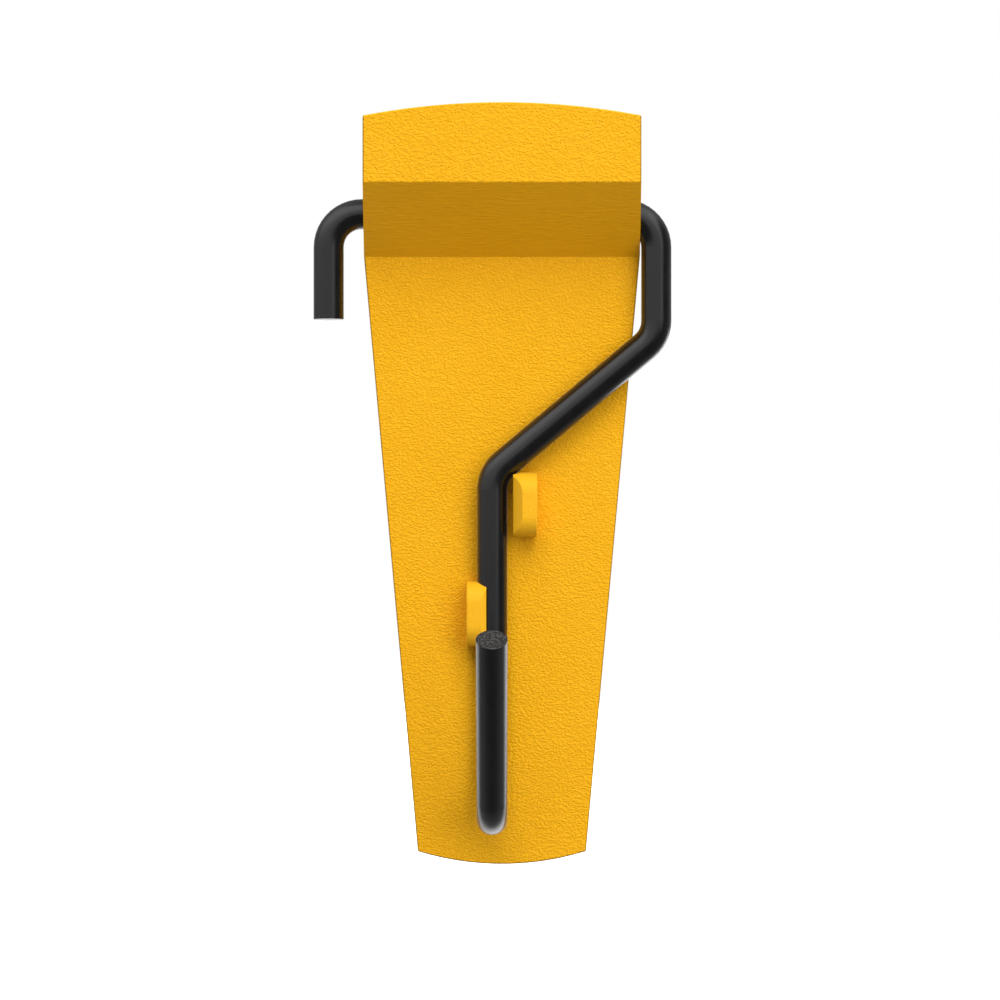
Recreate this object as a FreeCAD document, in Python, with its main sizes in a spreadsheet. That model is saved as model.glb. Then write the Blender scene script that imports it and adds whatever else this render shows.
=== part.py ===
"""Garage utility hook: a moulded face plate with a hollow head, and a bent steel wire hook.

The object is modelled as it hangs: +Z up, the front towards -Y, the open back in the plane Y = 0.
The origin is on the plate's centre line, in the back plane, half way up the face. Millimetres.
"""
import FreeCAD, Part
import os
import Sketcher

Vector = FreeCAD.Vector

# How close two places are taken for the same one, in millimetres
NEAR = 0.01

# Driving dimensions, in millimetres and degrees
SIZES = [
    ("wire_diameter", 8.0, "diameter of the steel wire"),
    ("bend_radius", 8.8, "centre-line radius of the four flat bends"),
    ("face_clearance", 0.2, "gap between the wire and the faces that it lies along"),
    ("seat_clearance", 0.1, "gap between the wire and its round seats"),
    ("left_leg_x", -45.9, "centre line of the short free leg"),
    ("left_leg_low", 44.5, "cut end of the short free leg"),
    ("right_leg_x", 40.9, "centre line of the leg that passes the plate's side"),
    ("diagonal_top", 40.0, "height where the right leg and the diagonal would meet"),
    ("diagonal_slope", 40.0, "angle of the diagonal from the horizontal"),
    ("run_x", -2.57, "centre line of the run between the clips"),
    ("throat_radius", 12.0, "centre-line radius of the hook's bend"),
    ("hook_bottom", -90.8, "lowest point of the wire"),
    ("hook_lean", 34.0, "angle of the hook's front leg from the vertical"),
    ("hook_tip", -38.2, "height of the middle of the wire's end face"),
    ("face_top", 99.9, "top of the head's face, at the middle"),
    ("face_corner", 96.35, "top corners of the head's face"),
    ("face_low", 79.15, "lower edge of the head's face, where the slope begins"),
    ("crease_height", 61.35, "height of the crease under the head"),
    ("crease_width", 73.45, "width of the plate at the crease"),
    ("foot_width", 44.8, "width of the plate's foot, corner to corner"),
    ("foot_corner", -96.9, "bottom corners of the plate"),
    ("foot_bottom", -100.3, "bottom of the plate, at the middle"),
    ("plate_depth", 5.0, "depth of the plate, from its front to the back plane"),
    ("head_depth", 22.8, "how far the head's face stands in front of the plate"),
    ("wall", 1.9, "wall of the moulding"),
    ("draft", 1.4, "draft angle of the head's sides"),
    ("edge_round", 0.5, "rounding of the moulding's outer edges"),
    ("rib_width", 1.6, "width of the ribs behind the plate"),
    ("rib_pitch", 31.0, "distance between the cross ribs"),
    ("saddle_offset", 23.0, "distance of each saddle rib from the centre line"),
    ("throat_grip", 0.6, "how much narrower than the wire the seat's open side is"),
    ("clip_height", 17.1, "height of each clip"),
    ("clip_reach", 9.9, "how far each clip stands in front of the plate"),
    ("clip_corner", 5.5, "rounding of each clip's ends, seen from the side"),
    ("clip_outer", 9.35, "distance of each clip's outer side from the centre line"),
    ("lip_edge", 0.6, "thickness of each clip's lip at its free edge"),
    ("left_lip_reach", 2.45, "how far the left lip hooks over the wire"),
    ("right_lip_x", 2.95, "free edge of the right lip"),
    ("right_lip_drop", 1.15, "how much lower the right lip is than the left one"),
    ("left_clip_top", -25.0, "top of the left clip"),
    ("right_clip_top", 3.95, "top of the right clip"),
    ("clip_round", 0.5, "rounding of each clip's outer side"),
    ("lead_in_round", 0.3, "rounding around each clip's slanted lead-in"),
]

# Sizes that follow from the driving ones. A depth is counted forwards from the back plane.
LAYOUT = [
    ("wire_radius", "sheet.wire_diameter / 2"),
    ("seat_radius", "layout.wire_radius + sheet.seat_clearance"),
    ("face_offset", "layout.wire_radius + sheet.face_clearance"),
    ("wire_depth", "sheet.plate_depth + layout.face_offset"),
    ("slope_rise", "sheet.face_low - sheet.crease_height"),
    ("slope_length", "sqrt(sheet.head_depth * sheet.head_depth + layout.slope_rise * layout.slope_rise)"),
    ("bar_height", "sheet.crease_height + ((layout.face_offset + sheet.wall) * layout.slope_length"
                   " + layout.face_offset * layout.slope_rise) / sheet.head_depth"),
    ("total_depth", "sheet.plate_depth + sheet.head_depth"),
    ("throat_half", "layout.wire_radius - sheet.throat_grip / 2"),
    ("half_turn", "(90 - sheet.diagonal_slope) / 2"),
    ("bend_tangent", "sheet.bend_radius * tan(layout.half_turn)"),
    ("run_top", "sheet.diagonal_top - (sheet.right_leg_x - sheet.run_x) * tan(sheet.diagonal_slope)"),
    ("hook_start", "sheet.hook_bottom + layout.wire_radius + sheet.throat_radius"),
    ("hook_centre", "layout.wire_depth + sheet.throat_radius"),
    ("hook_end_depth", "layout.hook_centre + sheet.throat_radius * cos(sheet.hook_lean)"),
    ("hook_end_height", "layout.hook_start - sheet.throat_radius * sin(sheet.hook_lean)"),
    ("slope_lift", "(layout.slope_length - layout.slope_rise) / sheet.head_depth"),
    ("lip_inset", "layout.wire_radius - sheet.left_lip_reach"),
    ("lip_under", "sqrt(layout.seat_radius * layout.seat_radius - layout.lip_inset * layout.lip_inset)"),
    ("lip_angle", "atan(layout.lip_under / layout.lip_inset) / 1 deg"),
    ("side_taper", "(sheet.crease_width - sheet.foot_width) / 2"
                   " / (sheet.crease_height - sheet.foot_corner)"),
]


def make_sheet(doc):
    sheet = doc.addObject("Spreadsheet::Sheet", "sheet")
    for row, (name, value, meaning) in enumerate(SIZES, start=1):
        sheet.set(f"A{row}", meaning)
        sheet.set(f"B{row}", str(value))
        sheet.setAlias(f"B{row}", name)
    doc.recompute()
    return sheet


def make_layout(doc):
    layout = doc.addObject("App::VarSet", "layout")
    for name, formula in LAYOUT:
        layout.addProperty("App::PropertyFloat", name)
        layout.setExpression(name, formula)
    doc.recompute()
    return layout


def plane(body, role):
    return next(item for item in body.Origin.OriginFeatures if item.Role == role)


def new_sketch(body, name, role, shift=None):
    """A sketch on one of the body's own origin planes, moved along its normal by an expression."""
    sketch = body.newObject("Sketcher::SketchObject", name)
    sketch.AttachmentSupport = (plane(body, role), [""])
    sketch.MapMode = "FlatFace"
    if shift:
        sketch.setExpression("AttachmentOffset.Base.z", shift)
    body.Document.recompute()
    return sketch


def tie(sketch, kind, geometry, point, formula):
    number = sketch.addConstraint(Sketcher.Constraint(kind, geometry, point, 1.0))
    sketch.setExpression(f"Constraints[{number}]", formula)


def place_points(sketch, points):
    """Construction points, each tied to its two coordinates, and where they come to lie."""
    first = len(sketch.Geometry)
    for number in range(len(points)):
        sketch.addGeometry(Part.Point(Vector(number, number, 0)), True)
    for number, (across, up) in enumerate(points):
        tie(sketch, "DistanceX", first + number, 1, across)
        tie(sketch, "DistanceY", first + number, 1, up)
    sketch.recompute()
    places = []
    for number in range(len(points)):
        spot = sketch.Geometry[first + number]
        places.append((first + number, Vector(spot.X, spot.Y, 0)))
    return places


def arc_through(first, middle, last):
    """The arc as a sketch holds it, anticlockwise, and which of its ends are the first and last."""
    centre = Part.Arc(first, middle, last).toShape().Curve.Center
    anticlockwise = (middle - first).cross(last - first).z > 0
    start, end = (first, last) if anticlockwise else (last, first)
    ring = Part.Circle(centre, Vector(0, 0, 1), (first - centre).Length)
    arc = Part.ArcOfCircle(ring, ring.parameter(start), ring.parameter(end))
    return arc, (1, 2) if anticlockwise else (2, 1)


def draw(sketch, start, steps, closed=True):
    """A chain of lines and arcs. A step is (end,) for a line or (middle, end) for an arc."""
    points = [start]
    for step in steps:
        points.extend(step)
    if closed:
        points.pop()
    places = place_points(sketch, points)
    if closed:
        places.append(places[0])
    position = 0
    for step in steps:
        first_index, first = places[position]
        last_index, last = places[position + len(step)]
        if len(step) == 1:
            edge = sketch.addGeometry(Part.LineSegment(first, last))
            ends = (1, 2)
        else:
            middle_index, middle = places[position + 1]
            arc, ends = arc_through(first, middle, last)
            edge = sketch.addGeometry(arc)
            sketch.addConstraint(Sketcher.Constraint("PointOnObject", middle_index, 1, edge))
        sketch.addConstraint(Sketcher.Constraint("Coincident", edge, ends[0], first_index, 1))
        sketch.addConstraint(Sketcher.Constraint("Coincident", edge, ends[1], last_index, 1))
        position += len(step)
    sketch.recompute()
    if not sketch.FullyConstrained:
        raise RuntimeError(f"{sketch.Label} is not fully constrained")
    return sketch


def circle(sketch, across, up, radius):
    (index, spot), = place_points(sketch, [(across, up)])
    ring = sketch.addGeometry(Part.Circle(spot, Vector(0, 0, 1), 1.0))
    sketch.addConstraint(Sketcher.Constraint("Coincident", ring, 3, index, 1))
    number = sketch.addConstraint(Sketcher.Constraint("Radius", ring, 1.0))
    sketch.setExpression(f"Constraints[{number}]", radius)
    sketch.recompute()
    return sketch


def pad(body, name, sketch, length, side_type="One side", reverse=False):
    feature = body.newObject("PartDesign::Pad", name)
    feature.Profile = sketch
    feature.SideType = side_type
    feature.Reversed = reverse
    feature.setExpression("Length", length)
    return finish_feature(feature)


def pocket(body, name, sketch, length, side_type="One side", reverse=False):
    """A cut that has to remove material."""
    before = body.Shape.Volume
    feature = body.newObject("PartDesign::Pocket", name)
    feature.Profile = sketch
    feature.SideType = side_type
    feature.Reversed = reverse
    feature.setExpression("Length", length)
    finish_feature(feature)
    if body.Shape.Volume > before - 1e-3:
        raise RuntimeError(f"{name} cuts nothing")
    return feature


def finish_feature(feature):
    feature.Document.recompute()
    if "Invalid" in feature.State or "Error" in feature.State or not feature.Shape.isValid():
        raise RuntimeError(f"{feature.Label} failed: {feature.State} {feature.getStatusString()}")
    return feature


def round_edges(body, name, radius, wanted):
    """A fillet on the edges of the body's last feature that the test picks by their middle point."""
    base = body.Tip
    picked = []
    for number, edge in enumerate(base.Shape.Edges, start=1):
        middle = edge.valueAt((edge.FirstParameter + edge.LastParameter) / 2)
        if wanted(middle, edge):
            picked.append(f"Edge{number}")
    feature = body.newObject("PartDesign::Fillet", name)
    feature.Base = (base, picked)
    feature.setExpression("Radius", radius)
    return finish_feature(feature)


def back(formula):
    """A depth in front of the back plane, as the coordinate along Y."""
    return f"-({formula})"


def bend(centre, radius, first, last):
    """The middle and the end of an arc, from its centre, radius and two angles, as a chain's step."""
    ends = []
    for angle in (f"(({first}) + ({last})) / 2", last):
        ends.append((f"{centre[0]} + ({radius}) * cos({angle})", f"{centre[1]} + ({radius}) * sin({angle})"))
    return tuple(ends)


def bar_chain(offset):
    """The bar with its two bends and legs down to the crease, moved outwards from the centre line."""
    radius = f"sheet.bend_radius + ({offset})"
    height = "layout.bar_height - sheet.bend_radius"
    low = f"{height} - 2 * sheet.wall"
    left = ("(sheet.left_leg_x + sheet.bend_radius)", f"({height})")
    right = ("(sheet.right_leg_x - sheet.bend_radius)", f"({height})")
    left_leg = f"sheet.left_leg_x - ({offset})"
    right_leg = f"sheet.right_leg_x + ({offset})"
    return (left_leg, low), [
        ((left_leg, height),),
        bend(left, radius, "180", "90"),
        ((right[0], f"layout.bar_height + ({offset})"),),
        bend(right, radius, "90", "0"),
        ((right_leg, low),),
    ]


def reverse_chain(start, steps):
    """The same chain drawn from its other end."""
    points = [start]
    for step in steps:
        points.append(step[-1])
    turned = []
    for number in range(len(steps) - 1, -1, -1):
        turned.append(steps[number][:-1] + (points[number],))
    return points[-1], turned


def make_form(body, inset, behind):
    """The outer form of the moulding, or with an inset the form of its hollow."""
    half_crease = f"sheet.crease_width / 2 - {inset}"
    half_foot = f"sheet.foot_width / 2 - {inset} * (1 - layout.side_taper)"
    foot_corner = f"sheet.foot_corner + {inset}"
    crease = f"sheet.crease_height + {inset} * layout.slope_lift"
    corner = f"sheet.face_corner - {inset}"
    middle_top = ("0", f"sheet.face_top - {inset}")
    middle_foot = ("0", f"sheet.foot_bottom + {inset}")
    outline = new_sketch(body, "outline", "XZ_Plane")
    draw(outline, (back(half_foot), foot_corner), [
        (middle_foot, (half_foot, foot_corner)),
        ((half_crease, "sheet.crease_height"),),
        ((half_crease, corner),),
        (middle_top, (back(half_crease), corner)),
        ((back(half_crease), "sheet.crease_height"),),
        ((back(half_foot), foot_corner),),
    ])
    block = pad(body, "block", outline, f"layout.total_depth - {inset}", "Two sides")
    block.setExpression("Length2", behind)
    finish_feature(block)

    plate_front = back(f"sheet.plate_depth - {inset}")
    beyond = back("2 * layout.total_depth")
    below = "sheet.foot_bottom - sheet.wall"
    slope_end = (back(f"sheet.plate_depth - {inset} + sheet.head_depth * 2"),
                 f"{crease} + layout.slope_rise * 2")
    profile = new_sketch(body, "front_profile", "YZ_Plane")
    draw(profile, (plate_front, below), [
        ((plate_front, crease),),
        (slope_end,),
        ((beyond, slope_end[1]),),
        ((beyond, below),),
        ((plate_front, below),),
    ])
    pocket(body, "front_cut", profile, "2 * sheet.crease_width", "Symmetric")

    drafts = new_sketch(body, "draft_wedges", "XY_Plane", "sheet.crease_height")
    outside = "sheet.crease_width"
    front = back("2 * layout.total_depth")
    inner = f"{half_crease} - (2 * layout.total_depth - sheet.plate_depth) * tan(sheet.draft)"
    for side in (1, -1):
        draw(drafts, (f"{side} * ({half_crease})", back("sheet.plate_depth")), [
            ((f"{side} * ({inner})", front),),
            ((f"{side} * {outside}", front),),
            ((f"{side} * {outside}", back("sheet.plate_depth")),),
            ((f"{side} * ({half_crease})", back("sheet.plate_depth")),),
        ])
    pocket(body, "side_drafts", drafts, "sheet.face_top", reverse=True)


def cut_away(body, name, tool):
    """Takes the form of another body out of this one."""
    before = body.Shape.Volume
    feature = body.newObject("PartDesign::Boolean", name)
    feature.setObjects([tool])
    feature.Type = "Cut"
    finish_feature(feature)
    if body.Shape.Volume > before - 1e-3:
        raise RuntimeError(f"{name} cuts nothing")
    return feature


def round_outside(body):
    """Rounds the edges that reach the plate's or the head's front, but not seams, slope or hollow."""
    sheet = body.Document.sheet
    fronts = (sheet.plate_depth, body.Document.layout.total_depth)

    def wanted(middle, edge):
        at_front = any(abs(edge.BoundBox.YMin + depth) < NEAR for depth in fronts)
        on_seam = abs(middle.y + sheet.plate_depth) < NEAR and middle.z > sheet.crease_height - NEAR
        on_slope = sheet.crease_height - NEAR < middle.z < sheet.face_low - NEAR
        on_hollow = abs(abs(middle.x) + sheet.wall - sheet.crease_width / 2) < NEAR
        return at_front and not (on_seam or on_slope or on_hollow)

    round_edges(body, "outer_rounds", "sheet.edge_round", wanted)


def add_ribs(body):
    """One rib up the middle and cross ribs, flush with the back plane."""
    sheet = body.Document.sheet
    depth = "sheet.plate_depth - sheet.wall / 2"
    half = "sheet.rib_width / 2"
    spine = new_sketch(body, "spine_rib_outline", "XZ_Plane")
    low = "sheet.foot_bottom + sheet.wall / 2"
    high = "sheet.crease_height - sheet.wall"
    draw(spine, (back(half), low), [
        ((half, low),),
        ((half, high),),
        ((back(half), high),),
        ((back(half), low),),
    ])
    pad(body, "spine_rib", spine, depth)
    cross = new_sketch(body, "cross_rib_outlines", "XZ_Plane")
    first = int((sheet.foot_corner + sheet.wall) / sheet.rib_pitch - 0.5)
    last = int((sheet.crease_height - sheet.wall) / sheet.rib_pitch - 0.5)
    for number in range(first, last + 1):
        height = f"({number} + 0.5) * sheet.rib_pitch"
        reach = (f"sheet.foot_width / 2 + ({height} - sheet.foot_corner) * layout.side_taper"
                 " - sheet.wall / 2")
        low, high = f"{height} - {half}", f"{height} + {half}"
        draw(cross, (back(reach), low), [
            ((reach, low),),
            ((reach, high),),
            ((back(reach), high),),
            ((back(reach), low),),
        ])
    pad(body, "cross_ribs", cross, depth)


def add_saddle(body, name, across):
    """A rib under the bar, from the back plane to the slope's wall."""
    low = "sheet.crease_height - 2 * sheet.wall"
    middle_depth = "sheet.plate_depth - sheet.wall / 2"
    corner = "(sheet.crease_height + sheet.wall / 2 * layout.slope_lift)"
    front = f"{middle_depth} + (layout.bar_height - {corner}) * sheet.head_depth / layout.slope_rise"
    sketch = new_sketch(body, f"{name}_profile", "YZ_Plane", across)
    draw(sketch, ("0", low), [
        (("0", "layout.bar_height"),),
        ((back(front), "layout.bar_height"),),
        ((back(middle_depth), corner),),
        ((back(middle_depth), low),),
        (("0", low),),
    ])
    pad(body, name, sketch, "sheet.rib_width", "Symmetric")


def add_clip(body, name, side, top, seat_x, seat_depth):
    """A snap clip: a rounded block with the wire's seat, a hooked lip and a slanted lead-in."""
    inward = -side
    bottom = f"({top} - sheet.clip_height)"
    root = "sheet.plate_depth - sheet.wall / 2"
    crown = "(sheet.plate_depth + sheet.clip_reach)"
    shoulder = f"({crown} - sheet.clip_corner)"
    upper = (back(shoulder), f"({top} - sheet.clip_corner)")
    lower = (back(shoulder), f"({bottom} + sheet.clip_corner)")
    inner_end = f"({seat_x})"
    outer_end = f"({side} * sheet.clip_outer)"
    start, end = (inner_end, outer_end) if side > 0 else (outer_end, inner_end)
    block = new_sketch(body, f"{name}_block", "YZ_Plane", start)
    draw(block, (back(root), bottom), [
        ((back(shoulder), bottom),),
        bend(lower, "sheet.clip_corner", "270", "180"),
        ((back(crown), upper[1]),),
        bend(upper, "sheet.clip_corner", "180", "90"),
        ((back(root), top),),
        ((back(root), bottom),),
    ])
    pad(body, f"{name}_pad", block, f"{end} - {start}")

    seat = (seat_x, back(seat_depth))
    stem = f"{seat_x} + {side} * layout.seat_radius"
    lip = f"{seat_x} + {side} * layout.lip_inset"
    lip_under = f"{seat_depth} + layout.lip_under"
    lip_top = f"({lip_under} + sheet.lip_edge)"
    beyond = f"({crown} + sheet.wall)"
    free = f"{seat_x} + {inward} * layout.seat_radius"
    middle_angle = "layout.lip_angle / 2"
    middle = (f"{seat_x} + {side} * layout.seat_radius * cos({middle_angle})",
              back(f"{seat_depth} + layout.seat_radius * sin({middle_angle})"))
    profile = new_sketch(body, f"{name}_profile", "XY_Plane", f"{top} + sheet.wall")
    draw(profile, (stem, back("sheet.plate_depth")), [
        ((stem, seat[1]),),
        (middle, (lip, back(lip_under))),
        ((lip, back(lip_top)),),
        ((f"{lip} + {side} * ({beyond} - {lip_top})", back(beyond)),),
        ((free, back(beyond)),),
        ((free, back("sheet.plate_depth")),),
        ((stem, back("sheet.plate_depth")),),
    ])
    pocket(body, f"{name}_seat", profile, "sheet.clip_height + 2 * sheet.wall")
    round_clip(body, name, side)


def round_clip(body, name, side):
    """Rounds the outline of a clip's outer side, then the edges of its slanted lead-in."""
    sheet = body.Document.sheet
    outer = side * sheet.clip_outer
    front = -sheet.plate_depth - NEAR

    def on_outer_side(middle, edge):
        return abs(middle.x - outer) < NEAR and edge.BoundBox.XLength < NEAR and middle.y < front

    round_edges(body, f"{name}_rounds", "sheet.clip_round", on_outer_side)
    profile = body.Document.getObject(f"{name}_profile")
    slant = next(item for item in profile.Geometry if is_slanted_line(item))
    direction = slant.EndPoint - slant.StartPoint

    def on_lead_in(middle, edge):
        off_line = (middle - slant.StartPoint).cross(direction).z / direction.Length
        return abs(off_line) < NEAR and middle.y < front

    round_edges(body, f"{name}_lead_in_rounds", "sheet.lead_in_round", on_lead_in)


def is_slanted_line(item):
    """Whether a sketch's element is a line that runs along neither of the sketch's axes."""
    if item.TypeId != "Part::GeomLineSegment":
        return False
    across = item.EndPoint - item.StartPoint
    return min(abs(across.x), abs(across.y)) > NEAR


def cut_bar_seat(body):
    """The round seat of the bar and its bends, open to the back through a narrower throat."""
    path = new_sketch(body, "bar_path", "XZ_Plane", "layout.wire_depth")
    start, steps = bar_chain("0")
    draw(path, start, steps, closed=False)
    section = new_sketch(body, "bar_section", "XY_Plane", start[1])
    circle(section, start[0], back("layout.wire_depth"), "layout.seat_radius")
    before = body.Shape.Volume
    seat = body.newObject("PartDesign::SubtractivePipe", "bar_seat")
    seat.Profile = section
    seat.Spine = path
    finish_feature(seat)
    if body.Shape.Volume > before - 1e-3:
        raise RuntimeError("the bar's seat cuts nothing")

    throat = new_sketch(body, "throat_outline", "XZ_Plane", "layout.wire_depth")
    start, steps = bar_chain("layout.throat_half")
    inner_start, inner_steps = reverse_chain(*bar_chain("-layout.throat_half"))
    draw(throat, start, steps + [(inner_start,)] + inner_steps + [(start,)])
    pocket(body, "bar_throat", throat, "layout.wire_depth")


def make_face_plate(doc):
    core = doc.addObject("PartDesign::Body", "core")
    make_form(core, "sheet.wall", "sheet.wall")
    plate = doc.addObject("PartDesign::Body", "face_plate")
    make_form(plate, "0", "0")
    cut_away(plate, "hollow", core)
    round_outside(plate)
    add_clip(plate, "left_clip", -1, "sheet.left_clip_top", "sheet.run_x", "layout.wire_depth")
    add_clip(plate, "right_clip", 1, "sheet.right_clip_top", "(sheet.right_lip_x - layout.lip_inset)",
             "(layout.wire_depth - sheet.right_lip_drop)")
    add_ribs(plate)
    add_saddle(plate, "left_saddle", "-sheet.saddle_offset")
    add_saddle(plate, "right_saddle", "sheet.saddle_offset")
    cut_bar_seat(plate)
    return plate


def make_wire_hook(doc):
    wire = doc.addObject("PartDesign::Body", "wire_hook")
    radius = "sheet.bend_radius"
    bar_low = f"(layout.bar_height - {radius})"
    left = (f"(sheet.left_leg_x + {radius})", bar_low)
    right = (f"(sheet.right_leg_x - {radius})", bar_low)
    upper = (right[0], "(sheet.diagonal_top + layout.bend_tangent)")
    lower = (f"(sheet.run_x + {radius})", "(layout.run_top - layout.bend_tangent)")
    turn = "(90 - sheet.diagonal_slope)"
    diagonal_end = (f"sheet.run_x + {radius} - {radius} * cos{turn}",
                    f"{lower[1]} + {radius} * sin{turn}")
    flat = new_sketch(wire, "flat_form", "XZ_Plane", "layout.wire_depth")
    draw(flat, ("sheet.left_leg_x", "sheet.left_leg_low"), [
        (("sheet.left_leg_x", bar_low),),
        bend(left, radius, "180", "90"),
        ((right[0], "layout.bar_height"),),
        bend(right, radius, "90", "0"),
        (("sheet.right_leg_x", upper[1]),),
        bend(upper, radius, "0", f"-{turn}"),
        (diagonal_end,),
        bend(lower, radius, f"180 - {turn}", "180"),
        (("sheet.run_x", "layout.hook_start"),),
    ], closed=False)
    end_section = new_sketch(wire, "leg_section", "XY_Plane", "sheet.left_leg_low")
    circle(end_section, "sheet.left_leg_x", back("layout.wire_depth"), "layout.wire_radius")
    sweep(wire, "bent_form", end_section, flat)

    hook = new_sketch(wire, "hook_form", "YZ_Plane", "sheet.run_x")
    centre = (back("layout.hook_centre"), "layout.hook_start")
    tip_depth = ("layout.hook_end_depth"
                 " + (sheet.hook_tip - layout.hook_end_height) * tan(sheet.hook_lean)")
    draw(hook, (back("layout.wire_depth"), "layout.hook_start"), [
        bend(centre, "sheet.throat_radius", "0", "sheet.hook_lean - 180"),
        ((back(tip_depth), "sheet.hook_tip"),),
    ], closed=False)
    run_section = new_sketch(wire, "run_section", "XY_Plane", "layout.hook_start")
    circle(run_section, "sheet.run_x", back("layout.wire_depth"), "layout.wire_radius")
    sweep(wire, "hook", run_section, hook)
    return wire


def sweep(body, name, section, path):
    feature = body.newObject("PartDesign::AdditivePipe", name)
    feature.Profile = section
    feature.Spine = path
    return finish_feature(feature)


def main():
    doc = FreeCAD.newDocument("utility_hook")
    make_sheet(doc)
    make_layout(doc)
    pieces = [make_face_plate(doc), make_wire_hook(doc)]
    doc.recompute()
    for item in doc.Objects:
        if "Invalid" in item.State or "Error" in item.State:
            raise RuntimeError(f"{item.Label} is {item.State}")
    os.makedirs("parts", exist_ok=True)
    for piece in pieces:
        if piece.Shape.isNull() or not piece.Shape.isValid() or len(piece.Shape.Solids) != 1:
            raise RuntimeError(f"{piece.Label} is not one valid solid")
        piece.Shape.exportStep(f"parts/{piece.Label}.step")


main()
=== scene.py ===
"""Looks of the garage utility hook: grained yellow moulding and black coated wire, in front of white.

Lengths are in metres, in the CAD model's frame: +Z up, the front towards -Y, the open back at Y = 0.
"""
import math

import bpy
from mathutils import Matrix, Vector


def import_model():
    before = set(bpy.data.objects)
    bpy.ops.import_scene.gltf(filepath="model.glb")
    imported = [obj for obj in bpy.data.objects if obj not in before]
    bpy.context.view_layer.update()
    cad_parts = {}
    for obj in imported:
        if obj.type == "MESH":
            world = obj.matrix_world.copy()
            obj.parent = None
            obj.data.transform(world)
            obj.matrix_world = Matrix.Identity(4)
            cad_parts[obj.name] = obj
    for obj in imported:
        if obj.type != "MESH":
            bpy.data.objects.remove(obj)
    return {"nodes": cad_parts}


WHITE = (1.0, 1.0, 1.0)

CAMERA_PLACE = (-0.000506, -0.8835, -0.00335)
LENS = 118.8
SENSOR_WIDTH = 36.0

FLOOR_HEIGHT = -0.17
FLOOR_RADIUS = 3.0

# Each light's place, width, height and watts. All of them aim at the origin.
LIGHTS = {
    "key": ((0.12, -1.6, 1.68), 1.95, 1.5, 43.0),
    "fill": ((0.75, -1.2, 0.27), 0.95, 0.85, 8.0),
    "rear": ((0.3, 1.6, 0.45), 1.5, 1.2, 22.0),
    "left": ((-1.7, 0.5, 0.5), 1.2, 1.2, 13.0),
    "right": ((1.7, 0.5, 0.5), 1.2, 1.2, 11.0),
}
SOFT_LIGHT = 0.43

# Places on the moulding and on the wire
PLATE_DEPTH = 0.005
CREASE_HEIGHT = 0.06135
WIRE_RADIUS = 0.004
TIP_CENTRE = (-0.00257, -0.05889, -0.0382)
TIP_LEAN = math.radians(34)

# Colours of the moulding
YELLOW = (0.885, 0.432, 0.008)
YELLOW_PATCH = (0.87, 0.42, 0.006)
# Painted shade for the valleys of the grain
PAINTED_GRAIN_SHADE = (0.66, 0.27, 0.002)
# Painted sheen: a paler yellow for the clips that stands in for their gloss
CLIP_PAINTED_SHEEN = (0.85, 0.43, 0.014)
# Painted shade and painted highlight for the rounded edges of the moulding
PAINTED_EDGE_SHADE = (0.42, 0.2, 0.004)
PAINTED_EDGE_HIGHLIGHT = (0.93, 0.56, 0.03)

# Colours of the wire
COAT_DARK = (0.0025, 0.0025, 0.0027)
COAT_PALE = (0.0045, 0.0045, 0.0048)
CUT_DARK = (0.002, 0.002, 0.002)
CUT_PALE = (0.06, 0.06, 0.06)

# What the floor is for light that bounces off it, and for the camera
FLOOR_BOUNCE = (0.25, 0.25, 0.25)
FLOOR_SEEN = (0.8, 0.8, 0.8)
FLOOR_GLOW = 0.6


def new_material(name):
    material = bpy.data.materials.new(name)
    material.use_nodes = True
    return material, material.node_tree, material.node_tree.nodes["Principled BSDF"]


def add_node(tree, kind, inputs=None, **settings):
    """A node with its settings, whose inputs are values or the outputs that feed them."""
    node = tree.nodes.new(kind)
    for name, value in settings.items():
        setattr(node, name, value)
    for name, value in (inputs or {}).items():
        if isinstance(value, bpy.types.NodeSocket):
            tree.links.new(value, node.inputs[name])
        else:
            node.inputs[name].default_value = value
    return node


def maths(tree, operation, first, second=0.0, third=0.0):
    inputs = {0: first, 1: second, 2: third}
    return add_node(tree, "ShaderNodeMath", inputs, operation=operation).outputs[0]


def times(tree, first, second):
    return maths(tree, "MULTIPLY", first, second)


def times_plus(tree, first, second, third):
    return maths(tree, "MULTIPLY_ADD", first, second, third)


def opposite(tree, factor):
    return maths(tree, "SUBTRACT", 1.0, factor)


def spread(tree, value, low, high, to_low=0.0, to_high=1.0):
    """The value moved from one range to another, kept inside it, with soft ends."""
    inputs = {"Value": value, "From Min": low, "From Max": high, "To Min": to_low, "To Max": to_high}
    return add_node(tree, "ShaderNodeMapRange", inputs, interpolation_type="SMOOTHSTEP").outputs["Result"]


def mix_values(tree, factor, first, second):
    return add_node(tree, "ShaderNodeMix", {0: factor, 2: first, 3: second}, data_type="FLOAT").outputs[0]


def mix_colours(tree, factor, first, second):
    inputs = {0: factor, 6: first, 7: second}
    for number in (6, 7):
        if not isinstance(inputs[number], bpy.types.NodeSocket):
            inputs[number] = (*inputs[number], 1.0)
    return add_node(tree, "ShaderNodeMix", inputs, data_type="RGBA").outputs[2]


def stretched(tree, place, scale):
    return add_node(tree, "ShaderNodeMapping", {"Vector": place, "Scale": scale}).outputs["Vector"]


def noise(tree, place, scale, detail, roughness, distortion=0.0):
    inputs = {"Vector": place, "Scale": scale, "Detail": detail, "Roughness": roughness,
              "Distortion": distortion}
    return add_node(tree, "ShaderNodeTexNoise", inputs).outputs["Fac"]


def add_bump(tree, shader, relief, strength, distance):
    bump = add_node(tree, "ShaderNodeBump", {"Height": relief, "Strength": strength, "Distance": distance})
    tree.links.new(bump.outputs["Normal"], shader.inputs["Normal"])


def place_and_facing(tree):
    """The point on the object and the way that its surface faces."""
    place = add_node(tree, "ShaderNodeTexCoord").outputs["Object"]
    return place, add_node(tree, "ShaderNodeNewGeometry").outputs["Normal"]


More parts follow.
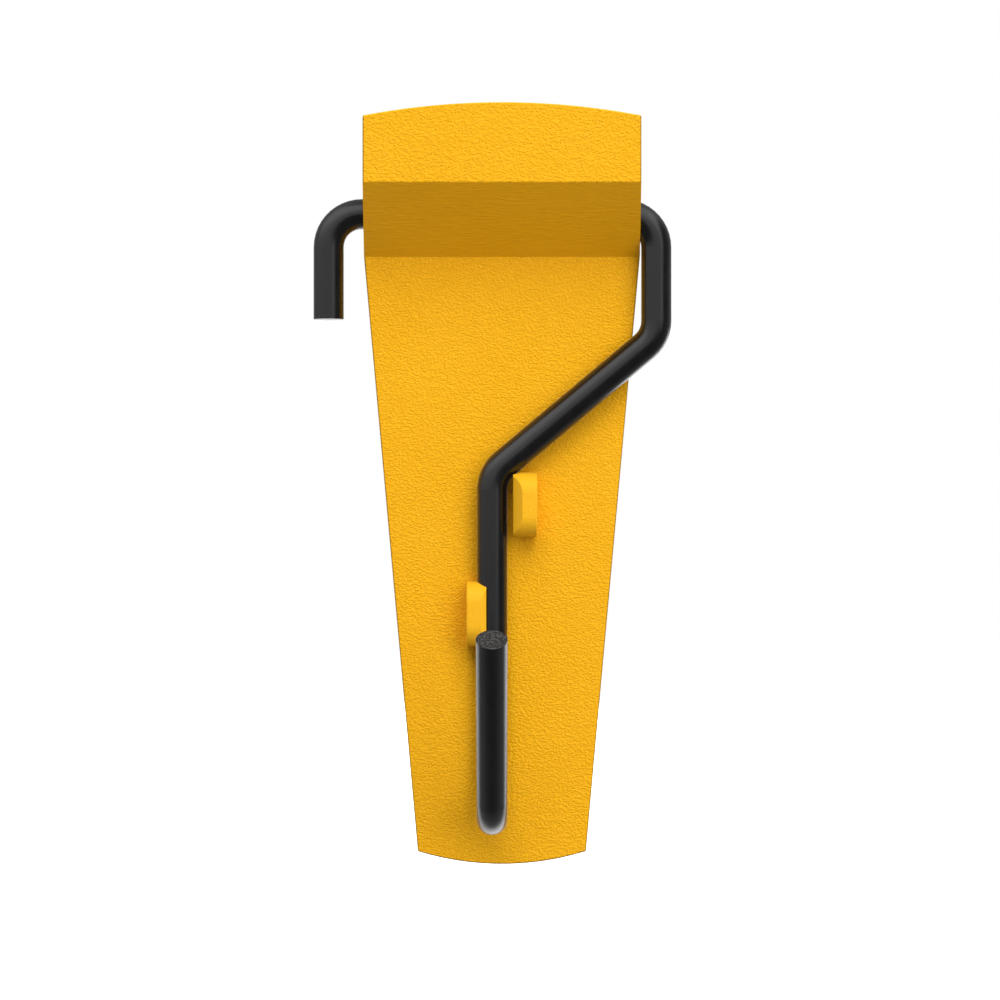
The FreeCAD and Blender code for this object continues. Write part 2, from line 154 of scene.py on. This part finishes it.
def yellow_plastic():
    """Moulded plastic: a wormy grain on the flats, finer streaks on the slope, slightly uneven colour, and
    painted shade and highlight in the grain, on the clips and on the rounded edges.
    """
    material, tree, shader = new_material("grained_yellow_plastic")
    place, normal = place_and_facing(tree)
    at = add_node(tree, "ShaderNodeSeparateXYZ", {0: place}).outputs
    facing = add_node(tree, "ShaderNodeSeparateXYZ", {0: normal}).outputs

    # Where the point lies, each from 0 to 1: on the head, its slope, a clip, or a rounded edge
    on_head = spread(tree, at["Z"], CREASE_HEIGHT - 0.0005, CREASE_HEIGHT)
    on_slope = times(tree, spread(tree, facing["Z"], -0.55, -0.72), on_head)
    on_clip = times(tree, spread(tree, at["Y"], -PLATE_DEPTH - 0.0002, -PLATE_DEPTH - 0.0008),
                    spread(tree, at["Z"], CREASE_HEIGHT, CREASE_HEIGHT - 0.001))
    turned = maths(tree, "ABSOLUTE", facing["Y"])
    on_round = times(tree, spread(tree, turned, 0.97, 0.85), spread(tree, turned, 0.0, 0.3))
    under_head = times(tree, on_head, spread(tree, facing["Z"], 0.0, -0.2))
    painted_edge_mask = times(tree, on_round, times(tree, opposite(tree, on_clip), opposite(tree, under_head)))

    # Relief: worms on the flats, level streaks on the slope, and next to none on the clips
    worms = noise(tree, stretched(tree, place, (0.78, 0.95, 1.08)), 1950.0, 1.1, 0.4, 0.3)
    grain = spread(tree, worms, 0.32, 0.68)
    streaks = noise(tree, stretched(tree, place, (0.2, 1.0, 1.6)), 1400.0, 2.0, 0.5)
    relief = mix_values(tree, on_slope, grain, times(tree, streaks, 1.2))
    relief = times(tree, relief, spread(tree, on_clip, 0.0, 1.0, 1.0, 0.2))
    add_bump(tree, shader, relief, 0.7, 0.00024)

    # Colour: soft patches, painted shade in the grain's valleys, a paler yellow painted on the clips as
    # their sheen, and painted highlight and shade on the rounded edges
    patches = noise(tree, place, 45.0, 3.0, 0.55)
    base = mix_colours(tree, spread(tree, patches, 0.3, 0.7), YELLOW_PATCH, YELLOW)
    # Painted shade: the valleys of the grain are darkened a little
    base = mix_colours(tree, times(tree, opposite(tree, grain), 0.08), base, PAINTED_GRAIN_SHADE)
    # Painted sheen: the clips get a paler yellow in place of their gloss
    base = mix_colours(tree, on_clip, base, CLIP_PAINTED_SHEEN)
    # Painted edge light: rounded edges are lighter where they face up and darker where they face down or
    # sideways
    painted_edge_light = mix_colours(tree, spread(tree, facing["Z"], 0.3, 0.6), PAINTED_EDGE_SHADE, PAINTED_EDGE_HIGHLIGHT)
    tree.links.new(mix_colours(tree, painted_edge_mask, base, painted_edge_light), shader.inputs["Base Color"])

    tree.links.new(spread(tree, grain, 0.0, 1.0, 0.5, 0.4), shader.inputs["Roughness"])
    shader.inputs["Specular IOR Level"].default_value = 0.15
    return material


def black_coat():
    """Smooth black coating on the bent wire, with a rough cut face at the hook's tip."""
    material, tree, shader = new_material("black_coated_wire")
    place, normal = place_and_facing(tree)

    # The tip's end face: close to its centre, and facing along the front leg
    inputs = {0: place, 1: TIP_CENTRE}
    to_tip = add_node(tree, "ShaderNodeVectorMath", inputs, operation="DISTANCE").outputs["Value"]
    inputs = {0: normal, 1: (0.0, -math.sin(TIP_LEAN), math.cos(TIP_LEAN))}
    along = add_node(tree, "ShaderNodeVectorMath", inputs, operation="DOT_PRODUCT").outputs["Value"]
    near_tip = spread(tree, to_tip, WIRE_RADIUS + 0.0025, WIRE_RADIUS + 0.002)
    on_tip = times(tree, near_tip, spread(tree, along, 0.9, 0.96))

    specks = noise(tree, place, 2100.0, 1.0, 0.6)
    wear = noise(tree, stretched(tree, place, (1.0, 1.0, 0.5)), 300.0, 4.0, 0.6)
    cut = mix_colours(tree, spread(tree, specks, 0.5, 0.58), CUT_DARK, CUT_PALE)
    coat = mix_colours(tree, spread(tree, wear, 0.35, 0.7), COAT_DARK, COAT_PALE)
    tree.links.new(mix_colours(tree, on_tip, coat, cut), shader.inputs["Base Color"])

    rough = mix_values(tree, on_tip, spread(tree, wear, 0.3, 0.7, 0.2, 0.25), 0.75)
    tree.links.new(rough, shader.inputs["Roughness"])
    shader.inputs["Sheen Weight"].default_value = 0.3
    shader.inputs["Sheen Roughness"].default_value = 0.25

    fine = noise(tree, place, 1500.0, 2.0, 0.5)
    add_bump(tree, shader, times_plus(tree, times(tree, on_tip, 3.0), specks, fine), 0.2, 0.00004)
    return material


def pale_floor():
    """Pale floor whose open parts read as white, and which keeps the shadow of what is above it."""
    material, tree, shader = new_material("pale_floor")
    shader.inputs["Roughness"].default_value = 0.9
    shader.inputs["Specular IOR Level"].default_value = 0.1
    path = add_node(tree, "ShaderNodeLightPath").outputs
    seen = path["Is Camera Ray"]
    tree.links.new(mix_colours(tree, seen, FLOOR_BOUNCE, FLOOR_SEEN), shader.inputs["Base Color"])
    glow = add_node(tree, "ShaderNodeEmission",
                    {"Color": (*WHITE, 1.0), "Strength": times(tree, seen, FLOOR_GLOW)})
    lit = add_node(tree, "ShaderNodeAddShader", {0: shader.outputs[0], 1: glow.outputs[0]})
    clear = add_node(tree, "ShaderNodeBsdfTransparent")
    surface = add_node(tree, "ShaderNodeMixShader",
                       {0: path["Is Glossy Ray"], 1: lit.outputs[0], 2: clear.outputs[0]})
    tree.links.new(surface.outputs[0], tree.nodes["Material Output"].inputs["Surface"])
    return material


def add_floor():
    bpy.ops.mesh.primitive_circle_add(vertices=96, radius=FLOOR_RADIUS, fill_type="NGON",
                                      location=(0, 0, FLOOR_HEIGHT))
    floor = bpy.context.object
    floor.name = "floor"
    floor.data.materials.append(pale_floor())


def studio_gloss(tree, across, back, up):
    """What a gloss shows in each direction: a panel in front, a pale wall behind, and a low strip there."""
    # In front: a panel above the horizon that brightens upwards, with a strip at its right edge
    panel = times(tree, spread(tree, up, -0.16, 0.08), spread(tree, across, 0.86, 0.64))
    strip = spread(tree, across, 0.5, 0.6, 0.9, 1.4)
    band = times_plus(tree, spread(tree, up, 0.2, 0.65), 1.1, strip)
    band = times(tree, band, spread(tree, up, 0.85, 1.0, 1.0, 0.3))
    front = times_plus(tree, panel, band, 0.15)

    # Behind: the wall, and a white strip below the horizon, brighter on the right
    low = times(tree, spread(tree, back, 0.42, 0.64), spread(tree, up, -0.04, -0.14))
    rear = times_plus(tree, low, spread(tree, across, -0.4, 0.4, 1.2, 2.0), 0.38)

    # Below: a little light from the floor
    below = times(tree, spread(tree, back, -0.35, 0.1), spread(tree, up, -0.4, -0.8))
    return times_plus(tree, below, 0.16, mix_values(tree, spread(tree, back, -0.4, 0.6), front, rear))


def add_world(level):
    """A plain soft level of light, white for the camera, and a studio in the gloss."""
    world = bpy.data.worlds.new("studio")
    bpy.context.scene.world = world
    world.use_nodes = True
    tree = world.node_tree
    way = add_node(tree, "ShaderNodeTexCoord").outputs["Generated"]
    way = add_node(tree, "ShaderNodeSeparateXYZ", {0: way}).outputs
    path = add_node(tree, "ShaderNodeLightPath").outputs
    gloss = studio_gloss(tree, way["X"], way["Y"], way["Z"])
    strength = mix_values(tree, path["Is Glossy Ray"], level, gloss)
    seen = maths(tree, "MAXIMUM", path["Is Camera Ray"], path["Is Transmission Ray"])
    background = tree.nodes["Background"]
    background.inputs["Color"].default_value = (*WHITE, 1.0)
    tree.links.new(mix_values(tree, seen, strength, 1.0), background.inputs["Strength"])


def add_light(name, place, width, height, power):
    """A soft rectangle that aims at the origin and doesn't show in the gloss."""
    data = bpy.data.lights.new(name, "AREA")
    data.shape = "RECTANGLE"
    data.size = width
    data.size_y = height
    data.energy = power
    light = bpy.data.objects.new(name, data)
    bpy.context.scene.collection.objects.link(light)
    light.location = place
    light.rotation_euler = (-Vector(place)).to_track_quat("-Z", "Y").to_euler()
    light.visible_glossy = False


def add_camera():
    """A camera that looks level at the front, along +Y."""
    data = bpy.data.cameras.new("camera")
    data.lens = LENS
    data.sensor_width = SENSOR_WIDTH
    camera = bpy.data.objects.new("camera", data)
    bpy.context.scene.collection.objects.link(camera)
    camera.location = CAMERA_PLACE
    camera.rotation_euler = (math.radians(90), 0.0, 0.0)
    bpy.context.scene.camera = camera


def main():
    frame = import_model()
    bpy.context.view_layer.update()

    for node, material in (("face_plate", yellow_plastic()), ("wire_hook", black_coat())):
        frame["nodes"][node].material_slots[0].material = material

    add_floor()
    add_world(SOFT_LIGHT)
    for name, (place, width, height, power) in LIGHTS.items():
        add_light(name, place, width, height, power)
    add_camera()
    bpy.context.scene.view_settings.view_transform = "Standard"

    bpy.context.view_layer.update()


main()
